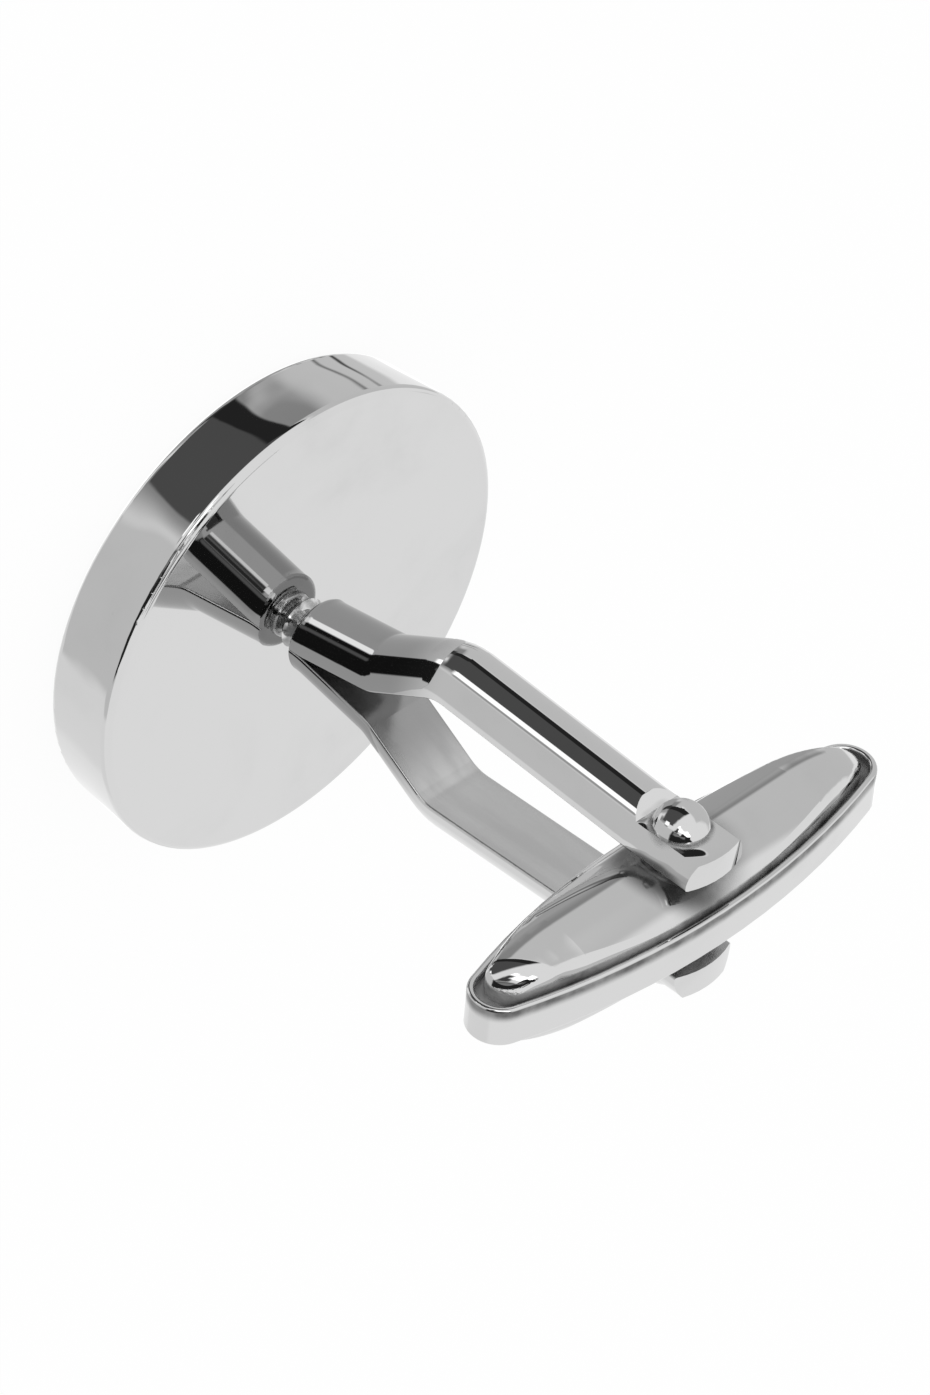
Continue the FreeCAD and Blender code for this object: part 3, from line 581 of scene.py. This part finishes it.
# Boards and windows of the studio that polished metal shows. A later one covers an earlier one. Each row has
# azimuth, half width, lowest, highest, soft edge at the sides and soft edge above and below, in degrees round
# the object, and its light, where 1 is the white background.
STUDIO = {
    "far_wall": (175, 39, -70, 28, 4.0, 4.0, 0.70),
    "far_wall_bright_end": (235, 22, -70, 10, 4.0, 6.0, 0.92),
    "near_wall": (23, 35, -43, 22, 3.0, 6.0, 0.70),
    "table_shade": (35, 55, -90, -45, 8.0, 3.0, 0.45),
    "table_line": (68, 34, -48, -38, 8.0, 2.0, 0.32),
    "board_soft_end": (118, 12, -60, -34, 10.0, 2.0, 0.30),
    "black_board": (90.5, 30.5, -48, -7, 1.0, 3.0, 0.09),
    "black_board_edge": (66, 6.5, -48, -7, 1.0, 3.0, 0.022),
    "low_board": (62, 9, -66, -46, 3.0, 3.0, 0.05),
    "slit_frame": (132, 3, -34, -20, 2.0, 2.0, 0.40),
    "slit_window": (123, 6, -34, -20, 1.0, 2.0, 1.6),
    "black_card_low": (167, 29, 3, 40, 2.0, 3.0, 0.02),
    "black_card_high": (161, 35, 35, 80, 2.0, 2.0, 0.02),
    "black_card_end": (127, 10, 8, 20, 2.0, 2.0, 0.06),
    "black_card_sheen": (145, 5, 8, 52, 3.0, 3.0, 0.25),
    "neck_glint": (111, 4, 8, 14, 1.0, 1.0, 2.0),
    "low_window": (119, 8, 16, 38, 2.0, 3.0, 2.2),
    "high_window": (115, 9, 38, 62, 2.0, 4.0, 3.0),
    "side_window": (313, 8, -60, -15, 5.0, 6.0, 1.4),
    "dark_stand": (1, 1.5, -46, -34, 1.2, 2.0, 0.08),
    "dark_stand_second": (13, 1.0, -46, -34, 1.2, 2.0, 0.22),
}
PANEL_INPUTS = ("Facing", "Half", "Lowest", "Highest", "Side edge", "Level edge")


def make_studio_panel():
    """Soft-edged rectangle in azimuth and elevation."""
    tree, given, out = new_group(
        "studio_panel",
        [(label, FLOAT, 0.0) for label in ("Azimuth", "Elevation") + PANEL_INPUTS],
        [("Mask", FLOAT)])
    half_turn = 180.0
    turn = calc(tree, "SUBTRACT", given["Azimuth"], given["Facing"])
    aside = calc(tree, "ABSOLUTE", calc(tree, "WRAP", turn, half_turn, -half_turn))

    def edge(level, softness):
        return calc(tree, "SUBTRACT", level, softness), calc(tree, "ADD", level, softness)

    across = fade(tree, aside, *edge(given["Half"], given["Side edge"]))
    above = ramp(tree, given["Elevation"], *edge(given["Lowest"], given["Level edge"]))
    below = fade(tree, given["Elevation"], *edge(given["Highest"], given["Level edge"]))
    feed(tree, out["Mask"], calc(tree, "MULTIPLY", across, calc(tree, "MULTIPLY", above, below)))
    return tree


def mix_shaders(tree, factor, first, second):
    node = put(tree, "ShaderNodeMixShader")
    for socket, source in zip(node.inputs, (factor, first, second)):
        feed(tree, socket, source)
    return node.outputs[0]


def light_studio():
    """White room. Polished metal also shows its soft-edged boards and windows."""
    world = bpy.data.worlds.new("white_studio")
    SCENE.world = world
    world.use_nodes = True
    tree = world.node_tree
    tree.nodes.clear()
    panel = make_studio_panel()
    toward = axes(tree, put(tree, "ShaderNodeTexCoord").outputs["Generated"])
    azimuth = calc(tree, "DEGREES", calc(tree, "ARCTAN2", toward["Y"], toward["X"]))
    elevation = calc(tree, "DEGREES", calc(tree, "ARCSINE", toward["Z"]))
    colour = grey(1.0)
    for *settings, light in STUDIO.values():
        sources = dict(zip(PANEL_INPUTS, map(float, settings)), Azimuth=azimuth, Elevation=elevation)
        colour = tint(tree, place_group(tree, panel, **sources)["Mask"], colour, grey(light))
    room = put(tree, "ShaderNodeBackground")
    feed(tree, room.inputs["Color"], colour)
    white = put(tree, "ShaderNodeBackground")
    white.inputs["Color"].default_value = grey(1.0)
    path = put(tree, "ShaderNodeLightPath")
    mirrored = calc(tree, "MAXIMUM", path.outputs["Is Glossy Ray"], path.outputs["Is Transmission Ray"])
    out = put(tree, "ShaderNodeOutputWorld")
    feed(tree, out.inputs["Surface"], mix_shaders(tree, mirrored, white.outputs[0], room.outputs[0]))


def lay_floor():
    """Pale floor just under the head that keeps a faint shadow of the object. It is clear from below."""
    half, low = 2.0, -0.02 * MM
    pale, glow_share = grey(0.9), 0.94
    corners = [(-half, -half, low), (half, -half, low), (half, half, low), (-half, half, low)]
    mesh = bpy.data.meshes.new("floor")
    mesh.from_pydata(corners, [], [(0, 1, 2, 3)])
    floor = bpy.data.objects.new("floor", mesh)
    SCENE.collection.objects.link(floor)
    material = bpy.data.materials.new("pale_floor")
    material.use_nodes = True
    tree = material.node_tree
    tree.nodes.clear()
    matt = put(tree, "ShaderNodeBsdfDiffuse")
    matt.inputs["Color"].default_value = pale
    glow = put(tree, "ShaderNodeEmission")
    glow.inputs["Color"].default_value = grey(1.0)
    path = put(tree, "ShaderNodeLightPath")
    seen = calc(tree, "MULTIPLY", path.outputs["Is Camera Ray"], glow_share)
    top = mix_shaders(tree, seen, matt.outputs[0], glow.outputs[0])
    side = put(tree, "ShaderNodeNewGeometry")
    clear = put(tree, "ShaderNodeBsdfTransparent")
    out = put(tree, "ShaderNodeOutputMaterial")
    feed(tree, out.inputs["Surface"], mix_shaders(tree, side.outputs["Backfacing"], top, clear.outputs[0]))
    mesh.materials.append(material)
    floor.visible_glossy = False


def aim_camera():
    """Long lens, as in the photograph: toggle towards the lower right, head towards the upper left."""
    aside, below, distance = 0.00755712, 0.00402879, 0.3001964
    sensor, frame_pixels, pixels_per_mm, measured_at = 36, 1395, 29.8207, 300
    toward = Vector((-0.55900, 0.66800, 0.49100)).normalized()
    right = Vector((0.70450, 0.07049, 0.70619))
    right = (right - toward * right.dot(toward)).normalized()
    up = toward.cross(right)
    lens = bpy.data.cameras.new("camera")
    camera = bpy.data.objects.new("camera", lens)
    SCENE.collection.objects.link(camera)
    stand = Matrix((right, up, toward)).transposed().to_4x4()
    stand.translation = right * aside - up * below + toward * distance
    camera.matrix_world = stand
    lens.sensor_fit = "VERTICAL"
    lens.sensor_height = sensor
    lens.lens = sensor * pixels_per_mm * measured_at / frame_pixels
    SCENE.camera = camera


light_studio()
lay_floor()
aim_camera()
SCENE.view_settings.view_transform = "Standard"
